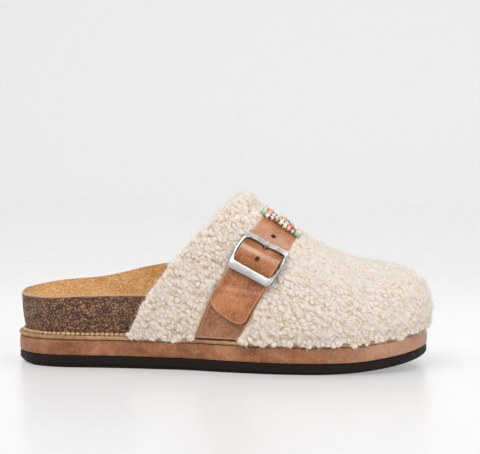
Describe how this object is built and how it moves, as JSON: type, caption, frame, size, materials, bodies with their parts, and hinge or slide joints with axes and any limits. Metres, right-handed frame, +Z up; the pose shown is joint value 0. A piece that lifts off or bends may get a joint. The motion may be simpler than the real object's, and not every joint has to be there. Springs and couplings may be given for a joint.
{
  "type": "clog",
  "caption": "Backless closed-toe clog: hollow fleece upper on a dished cork footbed, leather strap with a buckle and seed beads, stitched welt, leather-wrapped midsole, ribbed rubber outsole.",
  "frame": {"origin": "centre of the bounding box, on the floor under the sole", "axes": "+X to the toe, +Y to the inner (medial) side, +Z up; the shoe stands on its sole on the plane Z = 0"},
  "size_m": [0.2656, 0.1094, 0.1099],
  "materials": {
    "black_rubber": "matte",
    "tan_wrap_leather": "smooth satin",
    "beige_welt": "matte, stitched",
    "cork": "granulated cork, sealed",
    "liner_suede": "napped suede",
    "cream_fleece": "curly fleece",
    "strap_leather": "waxed, mottled",
    "brushed_metal": "brushed",
    "bead_glass": "opaque glass"
  },
  "bodies": {
    "root": {"outsole": "black_rubber", "midsole": "tan_wrap_leather", "welt": "beige_welt", "footbed": "cork", "insole": "liner_suede", "upper": "cream_fleece", "strap_base": "strap_leather", "strap_top": "strap_leather", "buckle": "brushed_metal", "prong": "brushed_metal", "bead_row_1": "bead_glass", "bead_row_2": "bead_glass", "bead_row_3": "bead_glass", "bead_row_4": "bead_glass", "bead_row_5": "bead_glass"}
  },
  "joints": []
}
